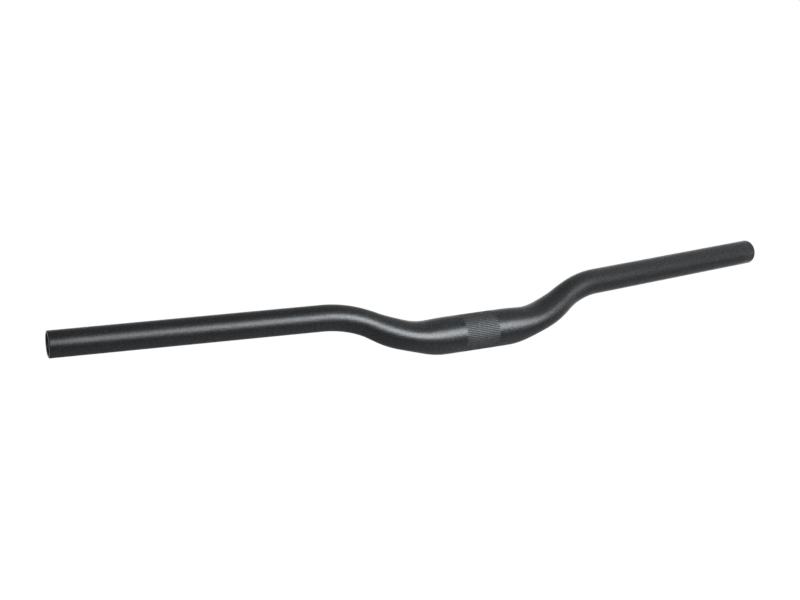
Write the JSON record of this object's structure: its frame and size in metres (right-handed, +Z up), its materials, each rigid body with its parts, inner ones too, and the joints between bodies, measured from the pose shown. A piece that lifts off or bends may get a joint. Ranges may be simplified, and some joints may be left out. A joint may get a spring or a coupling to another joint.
{
  "type": "mountain bike handlebar",
  "caption": "Swept riser handlebar for a mountain bike: a black bent aluminium tube, thick and knurled where the stem clamps it and tapered in two steps to slim level grips with open ends.",
  "frame": {"origin": "middle of the clamp zone, on its axis", "axes": "+X along the clamp zone to the rider's left, +Y backwards to the rider, +Z up, with the grips level"},
  "size_m": [0.7196, 0.0887, 0.053],
  "materials": {
    "black_anodised_aluminium": "satin black, fine blasted grain"
  },
  "bodies": {
    "root": {"handlebar": "black_anodised_aluminium"}
  },
  "joints": []
}
